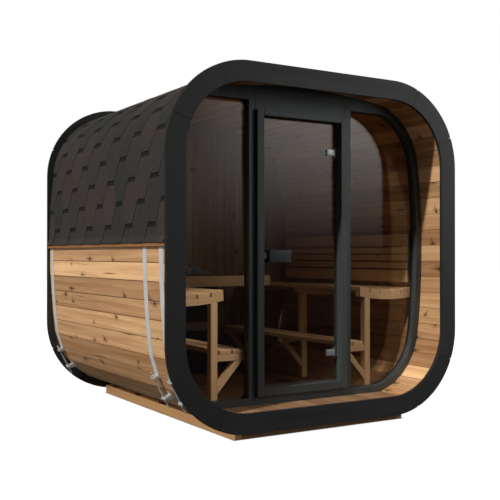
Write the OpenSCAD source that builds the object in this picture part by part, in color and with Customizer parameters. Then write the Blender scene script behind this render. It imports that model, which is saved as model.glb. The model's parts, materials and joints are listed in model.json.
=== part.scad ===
// Cube sauna: a bulged stave shell with rounded corners, a shingled roof,
// a recessed glazed front wall with a hinged glass door, benches and a heater.
// Origin: bottom centre. +X right, +Y back, +Z up. The front faces -Y.

/* [Shell] */
// Width across the trim rings
width = 2060; // [2020:10:2120]
// Height of the trim rings
height = 2055; // [2030:5:2100]
// Depth from the front trim's face to the back trim's face
depth = 1950; // [1900:10:2300]
// Outside radius of the trim rings' corners
corner_r = 515; // [505:5:525]
// Radius of the slight bulge of the walls and the roof
bulge_r = 4500; // [4300:100:6000]
// Thickness of the staves
stave_t = 40; // [38:1:42]
// Cover width of one stave
stave_w = 104; // [102:1:106]
// Thickness of the shingle layer
skin_t = 8; // [6:1:10]

/* [Trim and base] */
// Width of the trim boards
trim_w = 116; // [108:2:120]
// Thickness of the trim boards
trim_t = 20; // [18:1:24]
// Height of the base boards
base_h = 58; // [54:1:64]
// Thickness of the base boards
base_t = 45; // [40:1:50]
// Thickness of the floor boards
floor_t = 13; // [12:1:15]

/* [Front wall] */
// Distance from the front trim's face back to the front wall
porch = 250; // [230:5:280]
// Thickness of the front wall's frame
wall_t = 55; // [52:1:60]
// Width of the clear door opening
door_w = 568; // [556:2:576]
// Height of the clear door opening
door_h = 1600; // [1560:10:1610]
// Gap round the door leaf
door_gap = 6; // [6:1:7]
// Thickness of the glass
glass_t = 8; // [6:1:8]

/* [Benches and heater] */
// Distance of the upper benches' front edge from the middle
bench_edge = 507; // [500:1:515]
// Distance of the lower benches' front edge from the middle
step_edge = 365; // [355:1:375]
// Height of the upper benches' front edge above the floor
bench_z = 676; // [660:1:690]
// Height of the lower benches above the floor
step_z = 324; // [310:1:335]
// Width of the heater
heater_w = 330; // [300:5:340]
// Height of the heater's rim above the floor
heater_z = 739; // [700:5:745]

/* [Hidden] */

// ---- levels and planes
lift = base_h - 30;                 // underside of the trim rings
zm = lift + height/2;               // middle height of the shell
yf = -depth/2;                      // front face of the front trim
yb = depth/2;                       // back face of the back trim
wy = yf + porch;                    // front plane of the front wall
ry = yb - 85;                       // inner plane of the back wall

// ---- section of the shell: side arcs, corner arcs, top arc, flat bottom
cr = corner_r - 48;                 // corner radius of the wood
hw = width/2 - 16;                  // half width of the wood at mid height
cdz = height/2 - corner_r - 5;      // height of the corner centres from the middle
rr = bulge_r - cr;
cx = hw - bulge_r + sqrt(rr*rr - cdz*cdz);
top_c = zm + cdz - sqrt(rr*rr - cx*cx);
seam0 = 20.5;                       // first seam above mid height
a0 = asin(seam0/bulge_r);
aS = asin(cdz/rr);
aT = acos(cx/rr);
D = PI/180;
L1 = (aS - a0)*D*bulge_r;
L2 = (aT - aS)*D*cr;
Lt = L1 + L2 + (90 - aT)*D*bulge_r;
M1 = (a0 + aS)*D*bulge_r;
M2 = (90 - aS)*D*cr;
Mt = M1 + M2 + cx;
nu = floor(Lt/stave_w - 0.5);
nb = floor(Mt/stave_w - 0.5);
bot_z = zm - cdz - cr;              // underside of the bottom staves
fz = bot_z + stave_t + floor_t;     // top of the floor

function arc(c, r, a) = [c[0] + r*cos(a), c[1] + r*sin(a)];
// point of the right half of the section, s along the wood from the first
// seam (up positive), o outward from the wood's outer surface
function P(s, o = 0) =
  s >= 0 ? (s <= L1 ? arc([hw - bulge_r, zm], bulge_r + o, a0 + s/bulge_r/D)
    : s <= L1 + L2 ? arc([cx, zm + cdz], cr + o, aS + (s - L1)/cr/D)
    : arc([0, top_c], bulge_r + o, aT + (s - L1 - L2)/bulge_r/D))
  : (-s <= M1 ? arc([hw - bulge_r, zm], bulge_r + o, a0 + s/bulge_r/D)
    : -s <= M1 + M2 ? arc([cx, zm - cdz], cr + o, -aS + (s + M1)/cr/D)
    : [cx - (-s - M1 - M2), bot_z - o]);
// the same on the flat face of a stave
function C(s, o = 0) = let (k = floor(s/stave_w), t = s/stave_w - k)
  P(k*stave_w, o)*(1 - t) + P((k + 1)*stave_w, o)*t;
function rev(v) = [for (i = [len(v)-1:-1:0]) v[i]];
function mir(v) = [for (p = v) [-p[0], p[1]]];
function pts(ss, o) = [for (s = ss) P(s, o)];
// both halves, where the last of ss is on the middle line
function both(ss, o) = concat(pts(ss, o), mir(rev([for (i = [0:len(ss)-2]) P(ss[i], o)])));
function seams(a, b) = [for (i = [a:b]) i*stave_w];
top_s = concat(seams(12, nu), [Lt]);
bot_s = concat(rev(seams(-nb, -13)), [-Mt]);
all_s = concat([-Mt], seams(-nb, nu), [Lt]);
fine_s = [for (i = [0:90]) -Mt + (Mt + Lt)*i/90];

module ext(y0, y1) translate([0, y1, 0]) rotate([90, 0, 0]) linear_extrude(y1 - y0) children();
module band(ss, o1, o2) polygon(concat(pts(ss, o2), rev(pts(ss, o1))));
module cap(ss, o1, o2) polygon(concat(both(ss, o2), rev(both(ss, o1))));
module outline(ss, o) let (r = pts(ss, o))
  polygon(concat(r, mir(rev([for (i = [1:len(r)-2]) r[i]]))));
module sides() { children(); mirror([1, 0, 0]) children(); }
module box(x0, y0, z0, x1, y1, z1) translate([x0, y0, z0]) cube([x1 - x0, y1 - y0, z1 - z0]);

// ---- trim rings
tz0 = lift + corner_r;
tz1 = lift + height - corner_r;
tx = width/2 - corner_r;
module ring2d() {
  difference() {
    union() {
      translate([-tx, lift]) square([2*tx, height]);
      translate([-width/2, tz0]) square([width, tz1 - tz0]);
      for (x = [-tx, tx], z = [tz0, tz1]) translate([x, z]) circle(corner_r, $fn = 128);
    }
    union() {
      translate([-tx, lift + trim_w]) square([2*tx, height - 2*trim_w]);
      translate([-width/2 + trim_w, tz0]) square([width - 2*trim_w, tz1 - tz0]);
      for (x = [-tx, tx], z = [tz0, tz1]) translate([x, z]) circle(corner_r - trim_w, $fn = 128);
    }
    // small nicks where the corner pieces meet the boards
    sides2() for (a = [22.5, 67.5]) {
      translate([tx, tz1]) rotate(a) translate([corner_r, 0]) square([12, 9], center = true);
      translate([tx, tz0]) rotate(-a) translate([corner_r, 0]) square([12, 9], center = true);
    }
  }
}
module sides2() { children(); mirror([1, 0]) children(); }
jt = 0.25;   // half of the open joint between two trim pieces
function ray(c, a, o) = [c + o*[-sin(a), cos(a)], c + 900*[cos(a), sin(a)] + o*[-sin(a), cos(a)]];
module trim_side2d() intersection() {
  ring2d();
  polygon(concat(ray([tx, tz0], -22.5, jt), rev(ray([tx, tz1], 22.5, -jt))));
}
module trim_top2d() intersection() {
  ring2d();
  polygon(concat(ray([tx, tz1], 67.5, jt), rev(mir(ray([tx, tz1], 67.5, jt)))));
}
module trim_bottom2d() intersection() {
  ring2d();
  polygon(concat(ray([tx, tz0], -67.5, -jt), rev(mir(ray([tx, tz0], -67.5, -jt)))));
}
module trim_corner2d() intersection() {
  ring2d();
  union() {
    polygon([[tx, tz1], [tx, tz1] + 900*[cos(22.6), sin(22.6)], [tx, tz1] + 1100*[cos(45), sin(45)],
      [tx, tz1] + 900*[cos(67.4), sin(67.4)]]);
    polygon([[tx, tz0], [tx, tz0] + 900*[cos(22.6), -sin(22.6)], [tx, tz0] + 1100*[cos(45), -sin(45)],
      [tx, tz0] + 900*[cos(67.4), -sin(67.4)]]);
  }
}
module front_trim_sides() color("#15171a") ext(yf, yf + trim_t) sides2() trim_side2d();
module front_trim_rails() color("#15171a") ext(yf, yf + trim_t) { trim_top2d(); trim_bottom2d(); }
module front_trim_corners() color("#15171a") ext(yf, yf + trim_t) sides2() trim_corner2d();
module back_trim_sides() color("#15171a") ext(yb - trim_t, yb) sides2() trim_side2d();
module back_trim_rails() color("#15171a") ext(yb - trim_t, yb) { trim_top2d(); trim_bottom2d(); }
module back_trim_corners() color("#15171a") ext(yb - trim_t, yb) sides2() trim_corner2d();

// ---- stave shell
module stave_run(ss) ext(yf + trim_t, yb - trim_t) band(ss, -stave_t, 0);
module right_wall() color("#b98a55") stave_run(seams(-5, 5));
module left_wall() color("#b98a55") mirror([1, 0, 0]) stave_run(seams(-5, 5));
module upper_corners() color("#b98a55") sides() stave_run(seams(5, 12));
module lower_corners() color("#b98a55") sides() stave_run(rev(seams(-13, -5)));
module roof_deck() color("#b98a55") ext(yf + trim_t, yb - trim_t) cap(top_s, -stave_t, 0);
module bottom_staves() color("#b98a55") ext(yf + trim_t, yb - trim_t) cap(bot_s, -stave_t, 0);

// ---- roofing: a thin layer that kicks out over the battens
skin_s = concat([5, 42], seams(1, nu), [Lt]);
function skin_o(i) = i == 0 ? 26 : skin_t;
module shingle_skin() color("#4a3f38") ext(yf + trim_t, yb - trim_t)
  let (o = [for (i = [0:len(skin_s)-1]) P(skin_s[i], skin_o(i))],
       n = [for (s = skin_s) P(s, 0)])
  polygon(concat(o, mir(rev([for (i = [0:len(o)-2]) o[i]])), [for (i = [0:len(n)-2]) [-n[i][0], n[i][1]]], rev(n)));
module drip_battens() color("#a87945") sides() box(hw + 0.3, yf + trim_t, zm + 2.5, hw + 16, yb - trim_t, zm + 24.5);

// ---- base and floor
skid_x = 600;
module skids() color("#b98a55") sides() box(skid_x - base_t, yf + 30, 0, skid_x, yb - 50, base_h);
module base_end_boards() color("#b98a55") {
  box(-skid_x + base_t, yf + 30, 0, skid_x - base_t, yf + 52, base_h);
  box(-skid_x + base_t, yb - 72, 0, skid_x - base_t, yb - 50, base_h);
}
module cross_bearers() color("#6b5030") for (i = [-2:2])
  box(-skid_x, i*(depth - 350)/4 - 22, base_h, skid_x, i*(depth - 350)/4 + 22, bot_z);
module floor_boards() color("#a47b4c") ext(yf + trim_t + 1, ry - 0.3) intersection() {
  outline(all_s, -stave_t - 0.3);
  translate([-900, 0]) square([1800, fz]);
}

// ---- front wall
mull = door_w/2 + 91;                // window side of the mullions
jamb_x = door_w/2 + 47;              // outer face of the door frame
dz0 = fz + 99;                       // bottom of the clear door opening
dz1 = dz0 + door_h;
fr_z0 = dz0 - 48;
fr_z1 = dz1 + 35;
win_z0 = fz + 41;
win_z1 = zm + 865.5;
module wframe2d(x0) intersection() {
  outline(all_s, -stave_t - 0.5);
  translate([x0, fz]) square([900, 2100]);
}
module pane2d(o) intersection() {
  outline(fine_s, -stave_t - 47 + o);
  translate([mull - o, win_z0 - o]) square([900, win_z1 - win_z0 + 2*o]);
}
module pane_round2d(r) intersection() {
  outline(fine_s, -stave_t - 47);
  union() {
    translate([mull + r, win_z0]) square([900, win_z1 - win_z0]);
    translate([mull, win_z0 + r]) square([900, win_z1 - win_z0 - 2*r]);
    translate([mull + r, win_z0 + r]) circle(r, $fn = 48);
    translate([mull + r, win_z1 - r]) circle(r, $fn = 48);
  }
}
gy = wy + 38;                        // front plane of the window glass
module window_frame() {
  ext(wy, gy) difference() { wframe2d(jamb_x + 0.3); pane2d(0); }
  ext(gy, gy + glass_t) difference() { wframe2d(jamb_x + 0.3); pane2d(10); }
  ext(gy + glass_t, wy + wall_t) difference() { wframe2d(jamb_x + 0.3); pane_round2d(45); }
}
module window_glass() ext(gy + 0.2, gy + glass_t - 0.2) pane2d(9.5);
module window_frame_right() color("#141517") window_frame();
module window_frame_left() color("#141517") mirror([1, 0, 0]) window_frame();
module window_glass_right() color("#6b5a48", 0.5) window_glass();
module window_glass_left() color("#6b5a48", 0.5) mirror([1, 0, 0]) window_glass();
module front_wall_rails() color("#141517") {
  ext(wy, wy + wall_t) intersection() {
    outline(all_s, -stave_t - 0.5);
    translate([-jamb_x, fr_z1 + 0.3]) square([2*jamb_x, 900]);
  }
  box(-jamb_x, wy, fz, jamb_x, wy + wall_t, fr_z0 - 0.3);
}
module door_frame_jambs() color("#101113") sides() box(door_w/2, wy - 25, fr_z0, jamb_x, wy + wall_t, fr_z1);
module door_frame_rails() color("#101113") {
  box(-door_w/2, wy - 25, fr_z0, door_w/2, wy + wall_t, dz0);
  box(-door_w/2, wy - 25, dz1, door_w/2, wy + wall_t, fr_z1);
}
module back_wall() color("#b08350") ext(ry, ry + 40) outline(all_s, -stave_t - 0.5);

// ---- door leaf, hung on the right, opening outwards
leaf_x = door_w/2 - door_gap;
px = door_w/2 - 22;                  // hinge axis
py = wy + 27;
hinge_zs = [dz0 + 173, dz1 - 183];
pin_r = 4;
module door_glass() color("#5d4c3b", 0.5) difference() {
  box(-leaf_x, py - glass_t/2, dz0 + door_gap, leaf_x, py + glass_t/2, dz1 - door_gap);
  for (z = hinge_zs) box(px - 14, py - 20, z - 36, leaf_x + 5, py + 20, z + 36);
}
hz = dz0 + 773;                      // middle of the handle
module door_handle() color("#141414") {
  // outer grip on two posts
  box(-246, py - 50, hz - 36, -92, py - 14, hz + 36);
  for (x = [-220, -118]) translate([x, py - glass_t/2, hz]) rotate([90, 0, 0]) cylinder(r = 9, h = 12 - glass_t/2 + 2, $fn = 32);
  // inner grip on two posts
  box(-246, py + 14, hz - 36, -92, py + 36, hz + 36);
  for (x = [-220, -118]) translate([x, py + 14, hz]) rotate([90, 0, 0]) cylinder(r = 9, h = 14 - glass_t/2, $fn = 32);
}
module door_latch() color("#c9ccd0") {
  box(-leaf_x, py - 12, hz - 16, -leaf_x + 35, py - glass_t/2, hz + 17);
  box(-leaf_x, py + glass_t/2, hz - 16, -leaf_x + 35, py + 12, hz + 17);
}
module door_hinge_clamps() color("#c9ccd0") for (z = hinge_zs) difference() {
  union() {
    box(px - 57, py - 11, z - 18.5, px, py + 11, z + 18.5);
    translate([px, py, z - 18.5]) cylinder(r = 11, h = 37, $fn = 48);
  }
  box(px - 60, py - glass_t/2 - 0.05, z - 20, px - 14, py + glass_t/2 + 0.05, z + 20);
  translate([px, py, z - 20]) cylinder(r = pin_r + 0.06, h = 40, $fn = 48);
}
module hinge_plates() color("#c9ccd0") for (z = hinge_zs) {
  box(door_w/2 - 5, py - 26, z - 30, door_w/2, py + 24, z + 30);
  for (e = [19.5, -30]) {
    translate([px, py, z + e]) cylinder(r = 9, h = 10.5, $fn = 48);
    box(px, py - 9, z + e, door_w/2 - 4, py + 9, z + e + 10.5);
  }
  translate([px, py, z - 30]) cylinder(r = pin_r, h = 60, $fn = 48);
}

// ---- steel straps, each tightened by a threaded rod between two barrels
strap_w = 50;
strap_ys = [yf + 92, yf + 299, yb - 70];
b1 = P(-740, 25);
rod_d = [-0.4743, -0.8804];
b2 = b1 + 134*rod_d;
tip = b1 + 192*rod_d;
rod_a = atan2(rod_d[0], rod_d[1]);
module strap_at() for (y = strap_ys) translate([0, y, 0]) sides() children();
band1_s = concat([-19.5], rev(seams(-7, -1)));
band2_s = concat(rev(seams(-nb, -9)), [-Mt]);
module strap_bands() color("#9aa0a6") {
  strap_at() ext(-strap_w/2, strap_w/2) polygon(concat(pts(band1_s, 2), [C(-754, 2)], [C(-754, 0.1)], rev(pts(band1_s, 0.1))));
  for (y = strap_ys) translate([0, y, 0]) ext(-strap_w/2, strap_w/2)
    polygon(concat([C(-850, 2)], both(band2_s, 2), mir([C(-850, 2), C(-850, 0.1)]), rev(both(band2_s, 0.1)), [C(-850, 0.1)]));
}
module rod_axis(r, a, b) translate([b1[0], 0, b1[1]]) rotate([0, rod_a, 0]) translate([0, 0, a]) cylinder(r = r, h = b - a, $fn = 32);
module strap_clamps() color("#8d9298") strap_at() {
  difference() {
    union() {
      translate([b1[0], 23, b1[1]]) rotate([90, 0, 0]) cylinder(r = 10, h = 46, $fn = 32);
      difference() {
        ext(-23, 23) polygon([C(-753, 2.2), C(-738, 2.2), P(-7*stave_w, 2.2), b1 + [3, 8], b1 + [-7, -4]]);
        rod_axis(12, -70, -9.8);
      }
    }
    rod_axis(5.2, -50, 70);
  }
  difference() {
    union() {
      translate([b2[0], 23, b2[1]]) rotate([90, 0, 0]) cylinder(r = 10, h = 46, $fn = 32);
      difference() {
        ext(-23, 23) polygon([C(-905, 2.2), C(-866, 2.2), b2 + [-2, 8], b2 + [-2, -8]]);
        rod_axis(12, 142.8, 260);
      }
    }
    rod_axis(5.2, 80, 250);
  }
}
module strap_rods() color("#a5a9ad") strap_at() {
  rod_axis(5, -38, 192);
  translate([b1[0], 0, b1[1]]) rotate([0, rod_a, 0]) translate([0, 0, -19.5]) cylinder(r = 9, h = 9, $fn = 6);
  translate([b1[0], 0, b1[1]]) rotate([0, rod_a, 0]) translate([0, 0, 144.7]) cylinder(r = 9, h = 9, $fn = 6);
}

// ---- benches
by0 = wy + wall_t + 15;
by1 = ry - 2;
bz = fz + bench_z;
sz = fz + step_z;
slat = 79;
pitch = 88;
function dish(x) = let (u = (x - bench_edge)/(4*pitch + slat)) bz - 86*u + 72*u*u;
bear_h = 37;                         // depth of the dished cross bearers
leg_ys = [by0, by0 + 707, by1 - 60];
module bench_top() ext(by0, by1) for (i = [0:4]) let (a = bench_edge + i*pitch, b = a + slat)
  polygon([[a, dish(a)], [a, dish(a) - 28], [b, dish(b) - 28], [b, dish(b)]]);
module right_bench_top() color("#c39a66") bench_top();
module left_bench_top() color("#c39a66") mirror([1, 0, 0]) bench_top();
edges = [for (i = [0:4], e = [0, slat]) bench_edge + i*pitch + e];
module bench_frame() for (y = leg_ys) {
  // post and dished cross bearer
  ext(y, y + 45) polygon(concat([for (x = edges) [x, dish(x) - 28]], [[962, dish(edges[9]) - 28], [962, dish(edges[9]) - 28 - bear_h]],
    rev([for (x = edges) [x, dish(x) - 28 - bear_h]])));
  ext(y, y + 45) polygon([[545, fz], [590, fz], [590, dish(590) - 30 - bear_h + 4], [545, dish(545) - 30 - bear_h + 4]]);
  // arm of the lower bench and its brace
  box(step_edge, y, sz - 28 - bear_h, 545, y + 45, sz - 28);
  ext(y, y + 45) polygon([[545, sz - 251], [545, sz - 199], [427, sz - 28 - bear_h], [377, sz - 28 - bear_h]]);
}
module right_bench_frame() color("#b78c58") bench_frame();
module left_bench_frame() color("#b78c58") mirror([1, 0, 0]) bench_frame();
module lower_bench() for (i = [0, 1]) box(step_edge + i*pitch, by0, sz - 28, step_edge + i*pitch + slat, by1, sz);
module right_lower_bench() color("#c39a66") lower_bench();
module left_lower_bench() color("#c39a66") mirror([1, 0, 0]) lower_bench();
// slats of the backrests, measured from the upper bench's front edge
rest_z = [[263, 345], [213, 256], [162, 207], [110, 156], [18, 103]];
module backrest() {
  for (z = rest_z) box(907, by0, bz + z[0], 925, by0 + 1460, bz + z[1]);
  for (y = [by0 + 30, by0 + 707, by0 + 1390]) box(925, y, bz + 18, 963, y + 45, bz + 345);
}
module right_backrest() color("#c39a66") backrest();
module left_backrest() color("#c39a66") mirror([1, 0, 0]) backrest();

// ---- heater with stones, and the guard rail across the aisle
hx0 = -heater_w/2 - 30;
hx1 = heater_w/2 - 30;
hy0 = ry - 335;
hy1 = ry - 35;
hzt = fz + heater_z;
module heater_body() color("#1c1d1f") difference() {
  union() {
    box(hx0, hy0, fz + 26, hx1, hy1, hzt);
    for (x = [hx0 + 10, hx1 - 50], y = [hy0 + 10, hy1 - 50]) box(x, y, fz, x + 40, y + 40, fz + 27);
  }
  box(hx0 + 5, hy0 + 5, hzt - 250, hx1 - 5, hy1 - 5, hzt + 10);
  box(hx0 + 60, hy0 + 60, fz + 10, hx1 - 60, hy1 - 60, hzt - 258);
}
module heater_stones() color("#55575a") intersection() {
  ext(hy0 + 6, hy1 - 6) polygon([[hx0 + 6, hzt - 249], [hx1 - 6, hzt - 249], [hx1 - 6, hzt + 20], [hx1 - 60, hzt + 62],
    [hx0 + 60, hzt + 62], [hx0 + 6, hzt + 20]]);
  translate([hx0, 0, 0]) rotate([90, 0, 90]) linear_extrude(heater_w) polygon([[hy0 + 6, hzt - 260], [hy1 - 6, hzt - 260],
    [hy1 - 6, hzt + 20], [hy1 - 60, hzt + 70], [hy0 + 60, hzt + 70], [hy0 + 6, hzt + 20]]);
}
rail_y = yf + 1400;
module heater_rail() color("#c39a66") ext(rail_y - 14, rail_y + 14) union() {
  translate([-bench_edge + 20, bz - 27]) square([2*bench_edge - 40, 77]);
  translate([-bench_edge, bz - 27]) square([2*bench_edge, 57]);
  for (x = [-1, 1]) translate([x*(bench_edge - 20), bz + 30]) circle(20, $fn = 48);
}

front_trim_sides();
front_trim_rails();
front_trim_corners();
back_trim_sides();
back_trim_rails();
back_trim_corners();
left_wall();
right_wall();
roof_deck();
bottom_staves();
upper_corners();
lower_corners();
shingle_skin();
drip_battens();
skids();
base_end_boards();
cross_bearers();
floor_boards();
window_frame_left();
window_frame_right();
window_glass_left();
window_glass_right();
front_wall_rails();
door_frame_jambs();
door_frame_rails();
back_wall();
door_glass();
door_handle();
door_latch();
door_hinge_clamps();
hinge_plates();
strap_bands();
strap_clamps();
strap_rods();
left_bench_top();
right_bench_top();
left_bench_frame();
right_bench_frame();
left_lower_bench();
right_lower_bench();
left_backrest();
right_backrest();
heater_body();
heater_stones();
heater_rail();
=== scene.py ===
import bpy, bmesh, math, random, json
from mathutils import Vector, Matrix, noise

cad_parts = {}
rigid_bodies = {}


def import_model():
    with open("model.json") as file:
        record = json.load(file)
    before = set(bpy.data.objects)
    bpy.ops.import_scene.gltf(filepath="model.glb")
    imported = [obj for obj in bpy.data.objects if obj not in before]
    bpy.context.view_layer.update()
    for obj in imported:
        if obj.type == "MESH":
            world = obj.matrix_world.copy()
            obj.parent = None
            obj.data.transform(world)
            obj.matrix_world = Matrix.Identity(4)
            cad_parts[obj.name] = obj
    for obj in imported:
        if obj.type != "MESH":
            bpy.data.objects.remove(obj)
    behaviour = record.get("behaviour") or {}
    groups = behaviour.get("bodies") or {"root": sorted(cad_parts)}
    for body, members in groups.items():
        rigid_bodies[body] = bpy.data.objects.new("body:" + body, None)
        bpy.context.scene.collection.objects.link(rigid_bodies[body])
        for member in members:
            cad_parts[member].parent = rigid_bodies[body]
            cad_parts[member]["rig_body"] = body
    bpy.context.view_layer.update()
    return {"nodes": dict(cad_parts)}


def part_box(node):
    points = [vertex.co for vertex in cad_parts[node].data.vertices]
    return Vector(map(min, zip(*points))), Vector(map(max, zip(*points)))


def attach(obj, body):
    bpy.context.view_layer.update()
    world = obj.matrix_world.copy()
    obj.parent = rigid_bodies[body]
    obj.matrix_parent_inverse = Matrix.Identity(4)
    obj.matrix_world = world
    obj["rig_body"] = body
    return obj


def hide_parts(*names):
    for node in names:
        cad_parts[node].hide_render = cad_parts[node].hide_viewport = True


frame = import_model()
NODES = frame["nodes"]
rnd = random.Random(11)
D = math.pi / 180

# ------------------------------------------------------------------ geometry shared with the CAD (metres)
W, H, DEPTH, CORNER, BULGE = 2.060, 2.055, 1.950, 0.515, 4.5
ST, SW, BASE_H = 0.040, 0.104, 0.058
LIFT = BASE_H - 0.030
ZM = LIFT + H / 2
YF, YB, TT = -DEPTH / 2, DEPTH / 2, 0.020
Y0, Y1 = YF + TT, YB - TT
CR, HW, CDZ = CORNER - 0.048, W / 2 - 0.016, H / 2 - CORNER - 0.005
RR = BULGE - CR
CX = HW - BULGE + math.sqrt(RR * RR - CDZ * CDZ)
TOPC = ZM + CDZ - math.sqrt(RR * RR - CX * CX)
A0 = math.asin(0.0205 / BULGE)
AS = math.asin(CDZ / RR)
AT = math.acos(CX / RR)
L1, L2 = (AS - A0) * BULGE, (AT - AS) * CR
LT = L1 + L2 + (math.pi / 2 - AT) * BULGE
M1, M2 = (A0 + AS) * BULGE, (math.pi / 2 - AS) * CR
MT = M1 + M2 + CX
NU, NB = int(LT / SW - 0.5), int(MT / SW - 0.5)
BOT = ZM - CDZ - CR
FZ = BOT + ST + 0.013
WY, RY = YF + 0.250, YB - 0.085


def arc(cx, cz, r, a):
    return (cx + r * math.cos(a), cz + r * math.sin(a))


def P(s, o=0.0):
    if s >= 0:
        if s <= L1:
            return arc(HW - BULGE, ZM, BULGE + o, A0 + s / BULGE)
        if s <= L1 + L2:
            return arc(CX, ZM + CDZ, CR + o, AS + (s - L1) / CR)
        return arc(0, TOPC, BULGE + o, AT + (s - L1 - L2) / BULGE)
    if -s <= M1:
        return arc(HW - BULGE, ZM, BULGE + o, A0 + s / BULGE)
    if -s <= M1 + M2:
        return arc(CX, ZM - CDZ, CR + o, -AS + (s + M1) / CR)
    return (CX - (-s - M1 - M2), BOT - o)


def z_top(x, o):
    x = abs(x)
    if x <= CX / RR * (BULGE + o):
        return TOPC + math.sqrt((BULGE + o) ** 2 - x * x)
    xb = CX + (CR + o) * math.cos(AS)
    if x <= xb:
        return ZM + CDZ + math.sqrt(max(0, (CR + o) ** 2 - (x - CX) ** 2))
    return ZM + math.sqrt(max(0, (BULGE + o) ** 2 - (x - HW + BULGE) ** 2))


def z_bot(x, o):
    x = abs(x)
    if x <= CX:
        return BOT - o
    xb = CX + (CR + o) * math.cos(AS)
    if x <= xb:
        return ZM - CDZ - math.sqrt(max(0, (CR + o) ** 2 - (x - CX) ** 2))
    return ZM - math.sqrt(max(0, (BULGE + o) ** 2 - (x - HW + BULGE) ** 2))


# ------------------------------------------------------------------ mesh building
class MB:
    """Collects closed prisms, with grain coordinates, a tone and a darkening mask on each point; on boards the mask
    paints shade into the grooves and joints.
    """

    def __init__(s):
        s.v, s.f, s.gc, s.tone, s.dark = [], [], [], [], []

    def add(s, rings, gcs, darks, tone):
        b, n = len(s.v), len(rings[0])
        for r, g, d in zip(rings, gcs, darks):
            s.v += [tuple(p) for p in r]
            s.gc += [tuple(p) for p in g]
            s.dark += list(d)
            s.tone += [tone] * n
        for i in range(len(rings) - 1):
            for j in range(n):
                a, c = b + i * n + j, b + i * n + (j + 1) % n
                s.f.append((a, c, c + n, a + n))
        s.f.append(tuple(b + j for j in reversed(range(n))))
        s.f.append(tuple(b + (len(rings) - 1) * n + j for j in range(n)))

    def obj(s, name, mat, body="cabin", nodes=(), smooth=None):
        me = bpy.data.meshes.new(name)
        me.from_pydata(s.v, [], s.f)
        me.attributes.new("gc", "FLOAT_VECTOR", "POINT").data.foreach_set("vector", [c for g in s.gc for c in g])
        me.attributes.new("tone", "FLOAT", "POINT").data.foreach_set("value", s.tone)
        me.attributes.new("dark", "FLOAT", "POINT").data.foreach_set("value", s.dark)
        bm = bmesh.new()
        bm.from_mesh(me)
        bmesh.ops.recalc_face_normals(bm, faces=bm.faces)
        bm.to_mesh(me)
        bm.free()
        o = bpy.data.objects.new(name, me)
        bpy.context.scene.collection.objects.link(o)
        if smooth is not None:
            me.shade_smooth()
            set_sharp(me, smooth)
        me.materials.append(mat)
        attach(o, body)
        if nodes:
            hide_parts(*nodes)
        return o


def set_sharp(me, deg):
    bm = bmesh.new()
    bm.from_mesh(me)
    for e in bm.edges:
        e.smooth = len(e.link_faces) == 2 and e.calc_face_angle(3.2) < deg * D
    for f in bm.faces:
        f.smooth = True
    bm.to_mesh(me)
    bm.free()


def new_tone(a=0.0, b=1.0):
    return a + (b - a) * rnd.random()


def quad_prism(mb, A, B, B2, A2, y0, y1, c=0.0022, ci=None, dk=1.0, tone=None, end=0.002, gap=-0.0001):
    """A board along Y: outer face A-B, inner face A2-B2, all (x, z)."""
    ci = c if ci is None else ci
    A, B, A2, B2 = map(Vector, (A, B, A2, B2))
    e, e2 = (B - A).normalized(), (B2 - A2).normalized()
    sa, sb = (A2 - A).normalized(), (B2 - B).normalized()
    pts = [A + sa * c * 1.1 + e * gap, A + e * c, B - e * c, B + sb * c - e * gap,
           B2 - sb * ci - e2 * gap, B2 - e2 * ci, A2 + e2 * ci, A2 - sa * ci + e2 * gap]
    # painted shade: dk darkens the board's side faces and fades across the chamfers, standing in for the shade in the
    # grooves between boards
    dark = [dk, 0, 0, dk, dk, 0, 0, dk]
    mid = sum(pts, Vector((0, 0))) / 8
    ru, rv, rw = rnd.random() * 40, rnd.random() * 40, rnd.random() * 40
    n = Vector((-e.y, e.x))
    rings, gcs, ds = [], [], []
    for y, k in ((y0, 1), (y0 + end, 0), (y1 - end, 0), (y1, 1)):
        q = [p + (mid - p).normalized() * end * k for p in pts]
        rings.append([(p.x, y, p.y) for p in q])
        gcs.append([(y + ru, (p - A).dot(e) + rv, (p - A).dot(n) + rw) for p in q])
        ds.append(dark)
    mb.add(rings, gcs, ds, new_tone() if tone is None else tone)


def plank(mb, o, u, v, w, length, width, thick, c=0.002, dk=0.0, tone=None):
    """A board from corner o: grain along u, width along v, thickness along w."""
    o, u, v, w = Vector(o), Vector(u).normalized(), Vector(v).normalized(), Vector(w).normalized()
    sec = [(0, c), (c, 0), (width - c, 0), (width, c), (width, thick - c), (width - c, thick), (c, thick), (0, thick - c)]
    ru, rv, rw = rnd.random() * 40, rnd.random() * 40, rnd.random() * 40
    rings, gcs, ds = [], [], []
    for t, k in ((0, 1), (c, 0), (length - c, 0), (length, 1)):
        r, g = [], []
        for a, b in sec:
            if k:
                a = min(max(a, c), width - c)
                b = min(max(b, c), thick - c)
                a += 0.3 * c * (1 if a < width / 2 else -1) * (1 if b in (c, thick - c) else 0)
            r.append(o + u * t + v * a + w * b)
            g.append((t + ru, a + rv, b + rw))
        rings.append(r)
        gcs.append(g)
        # painted shade: dk darkens the side faces and chamfers, standing in for the shade in the gaps between boards
        ds.append([dk, 0, 0, dk, dk, 0, 0, dk])
    mb.add(rings, gcs, ds, new_tone() if tone is None else tone)


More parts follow.
